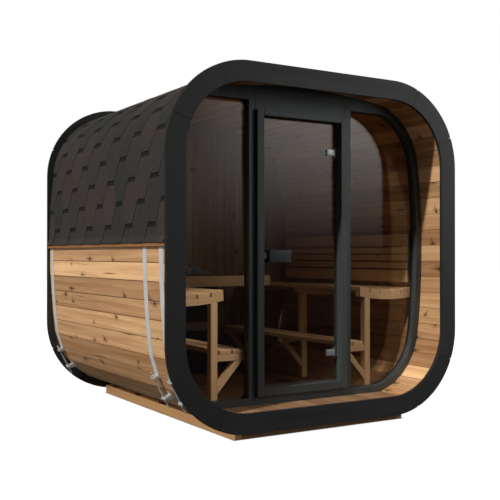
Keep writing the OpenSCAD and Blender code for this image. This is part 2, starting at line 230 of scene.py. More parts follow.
def carry(node, mat, bevel=0.002, grain="z", body=None, name=None, seg=2, soft=16):
    """A CAD node's own shape with eased edges and grain coordinates."""
    src = NODES[node]
    me = bpy.data.meshes.new(name or node + "_body")
    bm = bmesh.new()
    bm.from_mesh(src.data)
    bmesh.ops.remove_doubles(bm, verts=bm.verts, dist=2e-5)
    bmesh.ops.dissolve_limit(bm, angle_limit=0.6 * D, verts=bm.verts, edges=bm.edges)
    if bevel:
        es = [e for e in bm.edges if len(e.link_faces) == 2 and e.calc_face_angle(0) > 38 * D]
        bmesh.ops.bevel(bm, geom=es, offset=bevel, segments=seg, profile=0.6, affect="EDGES", clamp_overlap=True)
    bmesh.ops.recalc_face_normals(bm, faces=bm.faces)
    for e in bm.edges:
        e.smooth = len(e.link_faces) == 2 and e.calc_face_angle(3.2) < soft * D
    for f in bm.faces:
        f.smooth = True
    bm.to_mesh(me)
    bm.free()
    gc = []
    for v in me.vertices:
        x, y, z = v.co
        g = grain(x, y, z) if callable(grain) else {"x": (x, z, y), "y": (y, x, z), "z": (z, x, y)}[grain]
        gc += list(g)
    me.attributes.new("gc", "FLOAT_VECTOR", "POINT").data.foreach_set("vector", gc)
    me.attributes.new("tone", "FLOAT", "POINT").data.foreach_set("value", [0.5] * len(me.vertices))
    me.attributes.new("dark", "FLOAT", "POINT").data.foreach_set("value", [0.0] * len(me.vertices))
    o = bpy.data.objects.new(me.name, me)
    bpy.context.scene.collection.objects.link(o)
    me.materials.append(mat)
    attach(o, body or src["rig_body"])
    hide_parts(node)
    return o


# ------------------------------------------------------------------ materials
class NT:
    def __init__(s, name):
        s.m = bpy.data.materials.new(name)
        s.m.use_nodes = True
        s.t = s.m.node_tree
        s.t.nodes.clear()
        s.out = s.t.nodes.new("ShaderNodeOutputMaterial")

    def n(s, kind, **kw):
        nd = s.t.nodes.new("ShaderNode" + kind)
        for k, v in kw.items():
            setattr(nd, k, v)
        return nd

    def put(s, sock, val):
        if hasattr(val, "default_value") or hasattr(val, "links"):
            s.t.links.new(val, sock)
        else:
            sock.default_value = val

    def attr(s, name):
        a = s.n("Attribute", attribute_name=name)
        return a

    def math(s, op, a, b=None, c=None, clamp=False):
        nd = s.n("Math", operation=op, use_clamp=clamp)
        for i, x in enumerate((a, b, c)):
            if x is not None:
                s.put(nd.inputs[i], x)
        return nd.outputs[0]

    def vmul(s, v, k):
        nd = s.n("VectorMath", operation="MULTIPLY")
        s.put(nd.inputs[0], v)
        s.put(nd.inputs[1], k)
        return nd.outputs[0]

    def vadd(s, v, k):
        nd = s.n("VectorMath", operation="ADD")
        s.put(nd.inputs[0], v)
        s.put(nd.inputs[1], k)
        return nd.outputs[0]

    def noise(s, v, scale, detail=2.0, rough=0.5, dist=0.0):
        nd = s.n("TexNoise")
        s.put(nd.inputs["Vector"], v)
        nd.inputs["Scale"].default_value = scale
        nd.inputs["Detail"].default_value = detail
        nd.inputs["Roughness"].default_value = rough
        nd.inputs["Distortion"].default_value = dist
        return nd

    def voro(s, v, scale, rand=1.0, feature="F1"):
        nd = s.n("TexVoronoi", feature=feature)
        s.put(nd.inputs["Vector"], v)
        nd.inputs["Scale"].default_value = scale
        nd.inputs["Randomness"].default_value = rand
        return nd

    def rng(s, v, a, b, c=0.0, d=1.0, smooth=False):
        nd = s.n("MapRange", interpolation_type="SMOOTHSTEP" if smooth else "LINEAR", clamp=True)
        s.put(nd.inputs["Value"], v)
        nd.inputs["From Min"].default_value = a
        nd.inputs["From Max"].default_value = b
        nd.inputs["To Min"].default_value = c
        nd.inputs["To Max"].default_value = d
        return nd.outputs[0]

    def mix(s, f, a, b, blend="MIX"):
        nd = s.n("Mix", data_type="RGBA", blend_type=blend)
        s.put(nd.inputs["Factor"], f)
        s.put(nd.inputs[6], a)
        s.put(nd.inputs[7], b)
        return nd.outputs[2]

    def bsdf(s, color, rough=0.5, metal=0.0, bump=None, bump_s=0.2, bump_d=0.002, spec=0.5, **kw):
        p = s.n("BsdfPrincipled")
        s.put(p.inputs["Base Color"], color)
        s.put(p.inputs["Roughness"], rough)
        p.inputs["Metallic"].default_value = metal
        p.inputs["Specular IOR Level"].default_value = spec
        for k, v in kw.items():
            p.inputs[k.replace("_", " ")].default_value = v
        if bump is not None:
            b = s.n("Bump")
            b.inputs["Strength"].default_value = bump_s
            b.inputs["Distance"].default_value = bump_d
            s.put(b.inputs["Height"], bump)
            s.t.links.new(b.outputs[0], p.inputs["Normal"])
        s.t.links.new(p.outputs[0], s.out.inputs[0])
        return s.m


def rgb(h, k=1.0):
    """sRGB bytes to linear colour."""
    def f(c):
        c /= 255
        return (c / 12.92 if c <= 0.04045 else ((c + 0.055) / 1.055) ** 2.4) * k
    return (f(h[0]), f(h[1]), f(h[2]), 1.0)


def wood(name, light, mid, deep, knot=(0.050, 0.022, 0.010, 1), rough=0.55, lo=0.80, hi=1.12, knots=1.0, ringk=16.0, fibre=0.5, spread=0.55, streaks=1.0):
    t = NT(name)
    gc, tone, dark = t.attr("gc").outputs["Vector"], t.attr("tone").outputs["Fac"], t.attr("dark").outputs["Fac"]
    sep = t.n("SeparateXYZ")
    t.put(sep.inputs[0], gc)
    gu, gv, gw = sep.outputs
    v2 = t.math("ADD", gv, t.math("MULTIPLY", gw, 0.6))
    # scattered knots: a round eye, a tail along the grain or a spike across it
    flat = t.n("CombineXYZ")
    t.put(flat.inputs[0], t.math("MULTIPLY", gu, 5.5))
    t.put(flat.inputs[1], t.math("MULTIPLY", v2, 8.0))
    wob = t.noise(t.vmul(gc, (30, 60, 60)), 1.0, 2.0)
    kv = t.vadd(flat.outputs[0], t.vmul(t.vadd(wob.outputs["Color"], (-0.5, -0.5, -0.5)), (0.055, 0.075, 0.0)))
    vo = t.n("TexVoronoi", feature="F1", voronoi_dimensions="2D")
    t.put(vo.inputs["Vector"], kv)
    vo.inputs["Scale"].default_value = 1.0
    vo.inputs["Randomness"].default_value = 0.85
    d = t.n("VectorMath", operation="SUBTRACT")
    t.put(d.inputs[0], kv)
    t.put(d.inputs[1], vo.outputs["Position"])
    ds = t.n("SeparateXYZ")
    t.put(ds.inputs[0], d.outputs[0])
    du = t.math("MULTIPLY", ds.outputs[0], 1 / 5.5)
    dv = t.math("MULTIPLY", ds.outputs[1], 1 / 8.0)
    pc = t.n("SeparateColor")
    t.put(pc.inputs[0], vo.outputs["Color"])
    on = t.math("LESS_THAN", pc.outputs[0], 0.27 * knots + 0.03)
    big = t.rng(pc.outputs[1], 0, 1, 0.65, 1.45)

    def ell(x, y, a, b):
        q = t.math("ADD", t.math("POWER", t.math("ABSOLUTE", t.math("DIVIDE", x, t.math("MULTIPLY", big, a))), 2.0),
                   t.math("POWER", t.math("ABSOLUTE", t.math("DIVIDE", y, t.math("MULTIPLY", big, b))), 2.0))
        return t.rng(q, 1.6, 0.35, 0, 1, True)
    eye = ell(du, dv, 0.0115, 0.0080)
    tail = t.math("MULTIPLY", ell(du, dv, 0.060, 0.0022), t.math("GREATER_THAN", pc.outputs[2], 0.6))
    ang = t.rng(pc.outputs[1], 0, 1, -1.25, 1.25)
    cs, sn = t.math("COSINE", ang), t.math("SINE", ang)
    rx = t.math("ADD", t.math("MULTIPLY", du, sn), t.math("MULTIPLY", dv, cs))
    ry_ = t.math("SUBTRACT", t.math("MULTIPLY", du, cs), t.math("MULTIPLY", dv, sn))
    spike = t.math("MULTIPLY", ell(t.math("SUBTRACT", rx, 0.018), ry_, 0.024, 0.0036), t.math("LESS_THAN", pc.outputs[2], 0.62))
    kn = t.math("MULTIPLY", t.math("MAXIMUM", eye, t.math("MAXIMUM", t.math("MULTIPLY", tail, 0.8), t.math("MULTIPLY", spike, 0.9))), on)
    halo = t.math("MULTIPLY", ell(du, dv, 0.032, 0.020), on)
    # long straight growth rings that bow a little round the knots
    warp = t.noise(t.vmul(gc, (0.55, 4.0, 4.0)), 1.0, 2.0, 0.5)
    v = t.math("ADD", t.math("MULTIPLY", gv, ringk), t.math("MULTIPLY", gw, ringk * 0.6))
    r = t.math("ADD", v, t.math("MULTIPLY", warp.outputs["Fac"], 3.2))
    r = t.math("ADD", r, t.math("MULTIPLY", halo, 0.55))
    ring = t.math("FRACT", r)
    ring = t.math("MULTIPLY", t.rng(ring, 0.0, 0.82, 0, 1), t.rng(ring, 1.0, 0.82, 0, 1))
    fib = t.noise(t.vmul(gc, (4.0, 230.0, 230.0)), 1.0, 2.0, 0.6).outputs["Fac"]
    soft = t.noise(t.vmul(gc, (1.1, 30.0, 30.0)), 1.0, 3.0, 0.55).outputs["Fac"]
    f = t.math("ADD", t.math("MULTIPLY", ring, 0.30), t.math("MULTIPLY", t.rng(soft, 0.3, 0.72), 0.42))
    f = t.math("ADD", f, t.math("MULTIPLY", t.math("SUBTRACT", fib, 0.5), fibre))
    f = t.math("ADD", f, t.math("MULTIPLY", t.math("SUBTRACT", 0.5, tone), spread), clamp=True)
    col = t.mix(f, light, mid)
    # dark shakes that run along the boards
    shk = t.noise(t.vmul(gc, (1.5, 62.0, 62.0)), 1.0, 2.0, 0.5).outputs["Fac"]
    sh2 = t.noise(t.vmul(gc, (2.2, 12.0, 12.0)), 1.0, 1.0, 0.5).outputs["Fac"]
    shake = t.math("MULTIPLY", t.rng(shk, 0.64, 0.74, 0, 1, True), t.rng(sh2, 0.48, 0.62, 0, 1, True))
    col = t.mix(t.math("MULTIPLY", shake, 0.55 * streaks), col, deep)
    col = t.mix(t.math("MULTIPLY", halo, 0.22), col, deep)
    col = t.mix(t.math("MULTIPLY", kn, 0.88), col, knot)
    tn = t.rng(tone, 0, 1, lo, hi)
    slow = t.noise(t.vmul(gc, (0.8, 3.0, 3.0)), 1.0, 1.0).outputs["Fac"]
    tn = t.math("MULTIPLY", tn, t.rng(slow, 0.25, 0.75, 0.88, 1.12))
    cmb = t.n("CombineXYZ")
    for i in range(3):
        t.put(cmb.inputs[i], tn)
    col = t.mix(1.0, col, cmb.outputs[0], "MULTIPLY")
    # painted shade: where the 'dark' mask is set (board sides and chamfers) the colour goes near black, as the shade in
    # the grooves between boards
    col = t.mix(t.math("MULTIPLY", dark, 0.9), col, (0.016, 0.008, 0.004, 1))
    hgt = t.math("SUBTRACT", t.math("MULTIPLY", fib, 0.5), t.math("ADD", t.math("MULTIPLY", ring, 0.3), t.math("ADD", t.math("MULTIPLY", kn, 0.5), t.math("MULTIPLY", shake, 0.5))))
    ro = t.rng(f, 0, 1, rough - 0.05, rough + 0.12)
    return t.bsdf(col, ro, 0, hgt, 0.35, 0.0008, 0.35)


def stained(name, col, rough=0.5, k=0.35):
    t = NT(name)
    gc = t.attr("gc").outputs["Vector"]
    fib = t.noise(t.vmul(gc, (4.0, 170.0, 170.0)), 1.0, 3.0, 0.6).outputs["Fac"]
    sl = t.noise(t.vmul(gc, (1.2, 16.0, 16.0)), 1.0, 3.0, 0.5).outputs["Fac"]
    nick = t.voro(t.vmul(gc, (10, 11, 11)), 1.0, 1.0)
    nk = t.rng(nick.outputs["Distance"], 0.06, 0.03, 0, 1, True)
    f = t.math("ADD", t.math("MULTIPLY", fib, 0.5), t.math("MULTIPLY", sl, 0.5))
    c = t.mix(t.rng(f, 0.3, 0.7), tuple(x * (1 - k) for x in col[:3]) + (1,), tuple(x * (1 + k) for x in col[:3]) + (1,))
    c = t.mix(t.math("MULTIPLY", nk, 0.6), c, (0.004, 0.004, 0.005, 1))
    h = t.math("SUBTRACT", f, t.math("MULTIPLY", nk, 0.4))
    return t.bsdf(c, t.rng(sl, 0.3, 0.7, rough - 0.06, rough + 0.08), 0, h, 0.22, 0.0007, 0.5)


STAVE = wood("stave_wood_mat", rgb((224, 179, 130)), rgb((170, 117, 70)), rgb((88, 52, 28)), lo=0.70, hi=1.22, spread=0.8, streaks=1.6, fibre=0.8)
INNER = wood("inner_board_mat", rgb((146, 121, 94)), rgb((112, 89, 65)), rgb((66, 45, 30)))
BENCH = wood("bench_wood_mat", rgb((226, 194, 154)), rgb((204, 166, 124)), rgb((150, 110, 74)), knots=0.15, lo=0.92, hi=1.04, ringk=30, rough=0.5, spread=0.3, streaks=0.4)
FLOORW = wood("floor_wood_mat", rgb((158, 122, 90)), rgb((126, 92, 64)), rgb((80, 52, 34)), lo=0.85, hi=1.05)
# painted shade: the batten wood is a darker copy of the stave colours, standing in for the shade under the shingles'
# overhang
SHADED_BATTEN = wood("batten_painted_shade_mat", rgb((160, 112, 68)), rgb((132, 86, 48)), rgb((80, 50, 28)), lo=0.85, hi=1.0, knots=0.6)
BASEW = wood("base_wood_mat", rgb((234, 183, 122)), rgb((208, 151, 94)), rgb((130, 84, 46)), lo=0.95, hi=1.08)
# painted shade: the bearers under the cabin are coloured dark, standing in for the shade beneath the shell
SHADED_BEARER_WOOD = wood("bearer_painted_shade_mat", rgb((120, 96, 68)), rgb((96, 72, 48)), rgb((60, 42, 28)), lo=0.7, hi=1.0)
TRIM = stained("black_trim_mat", (0.0195, 0.0195, 0.0193, 1), 0.5)
FRAMEM = stained("black_frame_mat", (0.0430, 0.0490, 0.0490, 1), 0.45)
GRIP = stained("black_grip_mat", (0.0200, 0.0235, 0.0235, 1), 0.42)


def shingle_mat():
    t = NT("shingle_mat")
    gc, tone, dark = t.attr("gc").outputs["Vector"], t.attr("tone").outputs["Fac"], t.attr("dark").outputs["Fac"]
    grit = t.noise(t.vmul(gc, (620, 620, 620)), 1.0, 2.0, 0.7).outputs["Fac"]
    cells = t.voro(t.vmul(gc, (430, 430, 430)), 1.0, 1.0)
    cs = t.n("SeparateColor")
    t.put(cs.inputs[0], cells.outputs["Color"])
    band = t.noise(t.vmul(gc, (13.0, 3.0, 5.0)), 1.0, 2.0, 0.5).outputs["Fac"]
    blot = t.noise(t.vmul(gc, (30.0, 30.0, 30.0)), 1.0, 3.0, 0.6).outputs["Fac"]
    f = t.math("ADD", t.math("MULTIPLY", tone, 0.75), t.math("MULTIPLY", t.rng(band, 0.3, 0.7), 0.25))
    c = t.mix(f, rgb((40, 43, 40)), rgb((61, 51, 47)))
    g = t.math("ADD", t.math("MULTIPLY", cs.outputs[0], 0.6), t.math("MULTIPLY", grit, 0.5))
    g = t.math("MULTIPLY", t.rng(g, 0.1, 1.0, 0.62, 1.35), t.rng(blot, 0.3, 0.7, 0.9, 1.1))
    cmb = t.n("CombineXYZ")
    for i in range(3):
        t.put(cmb.inputs[i], g)
    c = t.mix(1.0, c, cmb.outputs[0], "MULTIPLY")
    c = t.mix(t.math("MULTIPLY", dark, 0.9), c, (0.006, 0.006, 0.006, 1))
    h = t.math("ADD", t.math("MULTIPLY", cells.outputs["Distance"], -0.6), t.math("MULTIPLY", grit, 0.6))
    return t.bsdf(c, 0.9, 0, h, 0.5, 0.0012, 0.25)


def metal(name, col, rough, scale=(30, 30, 400), amt=0.12, bump=0.05, dull=0.0, metal_=1.0):
    t = NT(name)
    tc = t.n("TexCoord").outputs["Object"]
    n1 = t.noise(t.vmul(tc, scale), 1.0, 2.0, 0.5).outputs["Fac"]
    n2 = t.noise(tc, 14.0, 3.0, 0.6).outputs["Fac"]
    f = t.math("ADD", t.math("MULTIPLY", n1, 0.5), t.math("MULTIPLY", n2, 0.5))
    c = t.mix(t.rng(f, 0.3, 0.7), tuple(x * (1 - amt) for x in col[:3]) + (1,), tuple(min(1, x * (1 + amt)) for x in col[:3]) + (1,))
    m = t.bsdf(c, t.rng(n2, 0.3, 0.7, rough * 0.8, rough * 1.25), metal_, n1, bump, 0.0004, 0.5)
    return m


STEEL = metal("strap_steel_mat", (0.60, 0.60, 0.585, 1), 0.5, (60, 60, 9), 0.10, 0.08, metal_=0.15)
FITTING = metal("rod_steel_mat", (0.66, 0.66, 0.65, 1), 0.36, (90, 90, 90), 0.2, 0.15, metal_=0.45)
PLATE = metal("hinge_plate_mat", (0.16, 0.165, 0.17, 1), 0.3, (50, 50, 300), 0.06, 0.02, metal_=0.6)
CLAMP = metal("hinge_clamp_mat", (0.36, 0.37, 0.38, 1), 0.24, (50, 50, 500), 0.04, 0.01, metal_=0.5)
# painted highlight: the chrome latch is coloured near-white and mostly diffuse, standing in for its bright glint
LATCH_GLINT = metal("latch_painted_glint_mat", (0.92, 0.92, 0.92, 1), 0.25, (50, 50, 300), 0.04, 0.01, metal_=0.15)
SHINGLE = shingle_mat()


def paint(name, col, rough, scale=260, bump=0.12):
    t = NT(name)
    tc = t.n("TexCoord").outputs["Object"]
    n1 = t.noise(tc, scale, 2.0, 0.6).outputs["Fac"]
    n2 = t.noise(tc, 9.0, 3.0, 0.6).outputs["Fac"]
    c = t.mix(t.rng(n2, 0.3, 0.7), tuple(x * 0.8 for x in col[:3]) + (1,), tuple(x * 1.25 for x in col[:3]) + (1,))
    return t.bsdf(c, t.rng(n2, 0.3, 0.7, rough - 0.05, rough + 0.08), 0, n1, bump, 0.0004, 0.4)


HEATER = paint("heater_paint_mat", (0.012, 0.012, 0.013, 1), 0.55)
HBAND = metal("heater_band_mat", (0.30, 0.31, 0.32, 1), 0.45, (9, 9, 300), 0.15, 0.05)


def stone_mat():
    t = NT("stone_mat")
    tc = t.n("TexCoord").outputs["Object"]
    n1 = t.noise(tc, 26.0, 4.0, 0.65).outputs["Fac"]
    n2 = t.noise(tc, 190.0, 3.0, 0.7).outputs["Fac"]
    tone = t.attr("tone").outputs["Fac"]
    f = t.math("ADD", t.math("MULTIPLY", n1, 0.5), t.math("ADD", t.math("MULTIPLY", n2, 0.25), t.math("MULTIPLY", tone, 0.35)), clamp=True)
    c = t.mix(f, (0.045, 0.047, 0.050, 1), (0.40, 0.405, 0.41, 1))
    return t.bsdf(c, 0.85, 0, t.math("ADD", n1, n2), 0.5, 0.003, 0.3)


STONE = stone_mat()


def glass_mat(name, tint, rough=0.05):
    t = NT(name)
    tc = t.n("TexCoord").outputs["Object"]
    ripple = t.noise(tc, 2.2, 1.0, 0.4).outputs["Fac"]
    lp = t.n("LightPath")
    tr = t.n("BsdfTransparent")
    t.put(tr.inputs[0], t.mix(lp.outputs["Is Shadow Ray"], tint, (0.72, 0.71, 0.69, 1)))
    gl = t.n("BsdfGlossy")
    gl.inputs["Color"].default_value = (1.0, 0.985, 0.955, 1)
    gl.inputs["Roughness"].default_value = rough
    b = t.n("Bump")
    b.inputs["Strength"].default_value = 0.05
    b.inputs["Distance"].default_value = 0.004
    t.put(b.inputs["Height"], ripple)
    t.put(gl.inputs["Normal"], b.outputs[0])
    fo, fi = t.n("Fresnel"), t.n("Fresnel")
    fo.inputs[0].default_value = 1.45
    fi.inputs[0].default_value = 1 / 1.45
    g = t.n("NewGeometry")
    fr = t.math("ADD", t.math("MULTIPLY", fo.outputs[0], t.math("SUBTRACT", 1.0, g.outputs["Backfacing"])), t.math("MULTIPLY", fi.outputs[0], g.outputs["Backfacing"]))
    fr = t.math("MULTIPLY", fr, t.math("SUBTRACT", 1.0, lp.outputs["Is Shadow Ray"]))
    mx = t.n("MixShader")
    t.put(mx.inputs[0], fr)
    t.put(mx.inputs[1], tr.outputs[0])
    t.put(mx.inputs[2], gl.outputs[0])
    t.put(t.out.inputs[0], mx.outputs[0])
    return t.m


GLASS = glass_mat("bronze_glass_mat", (0.90, 0.875, 0.85, 1))

# ------------------------------------------------------------------ camera (first)
cam_d = bpy.data.cameras.new("camera")
cam_d.sensor_width = 36.0
cam_d.lens = 60.384
cam_d.clip_end = 100
cam = bpy.data.objects.new("camera", cam_d)
cam.location = (-2.9225, -4.8966, 1.0156)
cam.rotation_euler = ((90 + 0.307) * D, 0, -31.48 * D)
bpy.context.scene.collection.objects.link(cam)
bpy.context.scene.camera = cam

# ------------------------------------------------------------------ stave shell
BOARD_TONES = {-1: 0.38, -2: 0.84, -3: 0.16, -4: 0.30, -5: 0.52, -6: 0.46, -7: 0.12, -8: 0.38, -9: 0.22}


def stave_piece(name, runs, nodes, mirror=(False, True)):
    mb = MB()
    for m in mirror:
        sx = -1 if m else 1
        for a, b in runs:
            A, B, A2, B2 = P(a), P(b), P(a, -ST), P(b, -ST)
            q = [(sx * p[0], p[1]) for p in (A, B, B2, A2)]
            quad_prism(mb, q[0], q[1], q[2], q[3], Y0, Y1, 0.0036, 0.0020, tone=BOARD_TONES.get(round(a / SW)) if m else None)
    return mb.obj(name, STAVE, "cabin", nodes)


def runs(a, b):
    return [(i * SW, (i + 1) * SW) for i in range(a, b)]


stave_piece("right_wall_staves", runs(-5, 5), ["right_wall"], (False,))
stave_piece("left_wall_staves", runs(-5, 5), ["left_wall"], (True,))
stave_piece("upper_corner_staves", runs(5, 12), ["upper_corners"])
stave_piece("lower_corner_staves", runs(-13, -5), ["lower_corners"])
stave_piece("roof_deck_staves", runs(12, NU) + [(NU * SW, LT)], ["roof_deck"])
stave_piece("bottom_stave_boards", runs(-NB, -13) + [(-MT, -NB * SW)], ["bottom_staves"])

# ------------------------------------------------------------------ shingles
PITCH_Y, EXPO, S_NOTCH, S_EAVE = 0.3105, 0.1326, 0.1160, 0.005
GT, GB, THK, HEAD, NOTCH_DARK_BAND = 0.096, 0.205, 0.0018, 0.012, 0.028


def flare(s):
    return 0.0176 * max(0.0, (0.042 - s) / 0.037)


def sh_pt(s, o, y, sx):
    x, z = P(min(s, LT), o + flare(s))
    return (sx * x, y, z)


def clip_y(y):
    return min(max(y, Y0 + 0.001), Y1 - 0.001)


def cuts(a, b, n):
    ss = [a + (b - a) * i / n for i in range(n + 1)] + [x for x in (0.012, 0.020, 0.028, 0.035, 0.042, 0.060) if a < x < b]
    return sorted(set(ss))


def shingle_side(mb, sx, y_even):
    """Courses of hexagonal tabs. Each course is shifted half a tab from the one below."""
    k = 0
    while True:
        s_lo = S_EAVE if k == 0 else S_NOTCH + EXPO * (k - 1)
        s_hi = S_NOTCH + EXPO * k
        if s_lo > LT - 0.02:
            break
        gap0 = y_even + (PITCH_Y / 2 if k % 2 else 0.0)
        base = 0.0078

        def o_at(s):
            return base - (s - s_lo) / EXPO * THK

        for j in range(-8, 8):
            g0 = gap0 + j * PITCH_Y
            g1 = g0 + PITCH_Y
            if g1 < Y0 + 0.004 or g0 > Y1 - 0.004:
                continue
            tone = rnd.random()
            ru = rnd.random() * 9
            top = min(s_hi, LT)
            jit = rnd.uniform(-0.0007, 0.0006)
            sh = rnd.uniform(-0.003, 0.003)
            rings, gcs, ds = [], [], []
            for s in cuts(s_lo, top, 6):
                f = (s - s_lo) / (s_hi - s_lo)
                lim = 1.0 if k else min(1.0, (s_hi - s) / EXPO * 1.0)
                gap = GB + (GT - GB) * f if k else GT + (GB - GT) * (s_hi - s) / EXPO
                ya, yb_ = clip_y(g0 + gap / 2 + sh), clip_y(g1 - gap / 2 + sh)
                if yb_ - ya < 0.002:
                    yb_ = ya + 0.0005
                o = o_at(s) + jit * (1 - f)
                ol = max(0.0004, o - THK)
                rings.append([sh_pt(s, o, ya, sx), sh_pt(s, o, yb_, sx), sh_pt(s, ol, yb_, sx), sh_pt(s, ol, ya, sx)])
                gcs.append([(ya + ru, s, 0), (yb_ + ru, s, 0), (yb_ + ru, s, 0.003), (ya + ru, s, 0.003)])
                ds.append([0.0, 0.0, 0.35, 0.35])
            if clip_y(g1 - GT / 2) - clip_y(g0 + GT / 2) > 0.004:
                mb.add(rings, gcs, ds, tone)
            # the strip above the tabs; its upper band is coloured near-black and shows as the dark notches
            if s_hi < LT:
                e = min(s_hi + EXPO + HEAD, LT)
                dark_from = s_hi + EXPO - NOTCH_DARK_BAND
                ss = [x for x in cuts(s_hi, dark_from, 5) if x < e] + ([dark_from + 0.0015, e] if dark_from < e - 0.003 else [e])
                ya, yb_ = clip_y(g0), clip_y(g1)
                if yb_ - ya > 0.003:
                    rings, gcs, ds = [], [], []
                    for s in ss:
                        o = max(0.0014, o_at(s) - 0.0002)
                        rings.append([sh_pt(s, o, ya, sx), sh_pt(s, o, yb_, sx), sh_pt(s, o - 0.001, yb_, sx), sh_pt(s, o - 0.001, ya, sx)])
                        gcs.append([(ya + ru, s, 0), (yb_ + ru, s, 0), (yb_ + ru, s, 0.001), (ya + ru, s, 0.001)])
                        ds.append([1.0 if s > dark_from else 0.0] * 4)
                    mb.add(rings, gcs, ds, tone * 0.8 + 0.1)
        if k == 0:
            # starter strip under the first tabs
            ss = cuts(S_EAVE + 0.0005, S_NOTCH - NOTCH_DARK_BAND, 5) + [S_NOTCH - NOTCH_DARK_BAND + 0.0015, S_NOTCH + HEAD]
            rings, gcs, ds = [], [], []
            for s in ss:
                o = 0.0050 - (s - S_EAVE) / EXPO * 0.002
                rings.append([sh_pt(s, o, Y0 + 0.001, sx), sh_pt(s, o, Y1 - 0.001, sx), sh_pt(s, o - 0.003, Y1 - 0.001, sx), sh_pt(s, o - 0.003, Y0 + 0.001, sx)])
                gcs.append([(0, s, 0), (2, s, 0), (2, s, 0.003), (0, s, 0.003)])
                # its upper band is coloured near-black, as on the strips above
                ds.append([1.0 if s > S_NOTCH - NOTCH_DARK_BAND else 0.0] * 4)
            mb.add(rings, gcs, ds, 0.4)
        k += 1


mb = MB()
shingle_side(mb, -1, -0.7775)
shingle_side(mb, 1, -0.7100)
# ridge caps across the top
y = Y1 - 0.30
while y > Y0 - 0.16:
    a, b = clip_y(y), clip_y(y + 0.31)
    tone, ru = rnd.random(), rnd.random() * 9
    if b - a > 0.01:
        rings, gcs, ds = [], [], []
        for i in range(9):
            x = -0.13 + 0.26 * i / 8
            zt = z_top(x, 0.0)
            lo, hi = zt + 0.0118, zt + 0.0078
            rings.append([(x, a, lo), (x, b, hi), (x, b, hi - 0.003), (x, a, lo - 0.003)])
            gcs.append([(x + ru, a, 0), (x + ru, b, 0), (x + ru, b, 0.003), (x + ru, a, 0.003)])
            ds.append([0, 0, 0.9, 0.9])
        mb.add(rings, gcs, ds, tone)
    y -= 0.145
# underlay: a thin dark sheet on the staves, and the wedge under the kicked-out eave
for sx in (-1, 1):
    ss = [0.042 + i * (LT - 0.042) / 40 for i in range(41)]
    rings = [[sh_pt(s, 0.0012, Y0, sx), sh_pt(s, 0.0012, Y1, sx), sh_pt(s, 0.0002, Y1, sx), sh_pt(s, 0.0002, Y0, sx)] for s in ss]
    mb.add(rings, [[(0, s, 0)] * 4 for s in ss], [[1.0] * 4] * len(ss), 0.3)
    ss = [0.0052, 0.014, 0.023, 0.032, 0.042]
    rings = [[sh_pt(s, 0.0024, Y0, sx), sh_pt(s, 0.0024, Y1, sx), (sx * P(s, 0.0002)[0], Y1, P(s, 0.0002)[1]), (sx * P(s, 0.0002)[0], Y0, P(s, 0.0002)[1])] for s in ss]
    mb.add(rings, [[(0, s, 0)] * 4 for s in ss], [[0.8] * 4] * len(ss), 0.3)
mb.obj("roof_shingles", SHINGLE, "cabin", ["shingle_skin"])

# ------------------------------------------------------------------ battens, base
mb = MB()
for sx in (-1, 1):
    plank(mb, (sx * (HW + 0.0003), Y0, ZM + 0.0025), (0, 1, 0), (0, 0, 1), (sx, 0, 0), Y1 - Y0, 0.022, 0.0157, 0.0015)
mb.obj("drip_batten_strips", SHADED_BATTEN, "cabin", ["drip_battens"])
mb = MB()
for sx in (-1, 1):
    plank(mb, (sx * 0.555, YF + 0.030, 0), (0, 1, 0), (0, 0, 1), (sx, 0, 0), DEPTH - 0.080, BASE_H, 0.045, 0.002)
mb.obj("base_side_boards", BASEW, "cabin", ["skids"])
mb = MB()
plank(mb, (-0.555, YF + 0.030, 0), (1, 0, 0), (0, 0, 1), (0, 1, 0), 1.110, BASE_H, 0.022, 0.0015)
plank(mb, (-0.555, YB - 0.072, 0), (1, 0, 0), (0, 0, 1), (0, 1, 0), 1.110, BASE_H, 0.022, 0.0015)
mb.obj("base_cross_boards", BASEW, "cabin", ["base_end_boards"])
mb = MB()
for i in range(-2, 3):
    plank(mb, (-0.6, i * 0.4 - 0.022, BASE_H), (1, 0, 0), (0, 1, 0), (0, 0, 1), 1.2, 0.044, BOT - BASE_H, 0.001)
mb.obj("bearer_boards", SHADED_BEARER_WOOD, "cabin", ["cross_bearers"])

# ------------------------------------------------------------------ floor
mb = MB()
n, span = 12, 0.606
for i in range(n):
    x0 = -span + i * 2 * span / n + 0.0012
    x1 = -span + (i + 1) * 2 * span / n - 0.0012
    if i == 0:
        x0 -= 0.009
    if i == n - 1:
        x1 += 0.009
    # dk=0.6: painted shade in the joints between the floor planks
    plank(mb, (x0, Y0 + 0.001, FZ - 0.0125), (0, 1, 0), (1, 0, 0), (0, 0, 1), RY - 0.0003 - Y0 - 0.001, x1 - x0, 0.0124, 0.0015, dk=0.6)
mb.obj("floor_planks", FLOORW, "cabin", ["floor_boards"])

# ------------------------------------------------------------------ back wall of vertical boards
mb = MB()
o_in = -ST - 0.0005
bw, xe = 0.096, 0.9715
nx = int(math.ceil(xe / bw))
for i in range(-nx, nx):
    x0, x1 = max(-xe, i * bw), min(xe, (i + 1) * bw)
    if x1 - x0 < 0.006:
        continue
    c = 0.0022
    sec = [(x0 + 0.0002, RY + c), (x0 + c, RY), (x1 - c, RY), (x1 - 0.0002, RY + c), (x1 - 0.0002, RY + 0.040 - c), (x1 - c, RY + 0.040), (x0 + c, RY + 0.040), (x0 + 0.0002, RY + 0.040 - c)]
    ru, rv, rw = rnd.random() * 40, rnd.random() * 40, rnd.random() * 40
    rings, gcs = [], []
    for t in (0.0, 1.0):
        rings.append([(x, y, (z_bot(x, o_in) + 0.001) * (1 - t) + (z_top(x, o_in) - 0.001) * t) for x, y in sec])
        gcs.append([(r[2] + ru, r[0] + rv, r[1] + rw) for r in rings[-1]])
    # the side faces are painted dark: painted shade in the joints between the boards
    mb.add(rings, gcs, [[1, 0, 0, 1, 1, 0, 0, 1]] * 2, new_tone())
mb.obj("back_wall_boards", INNER, "cabin", ["back_wall"])

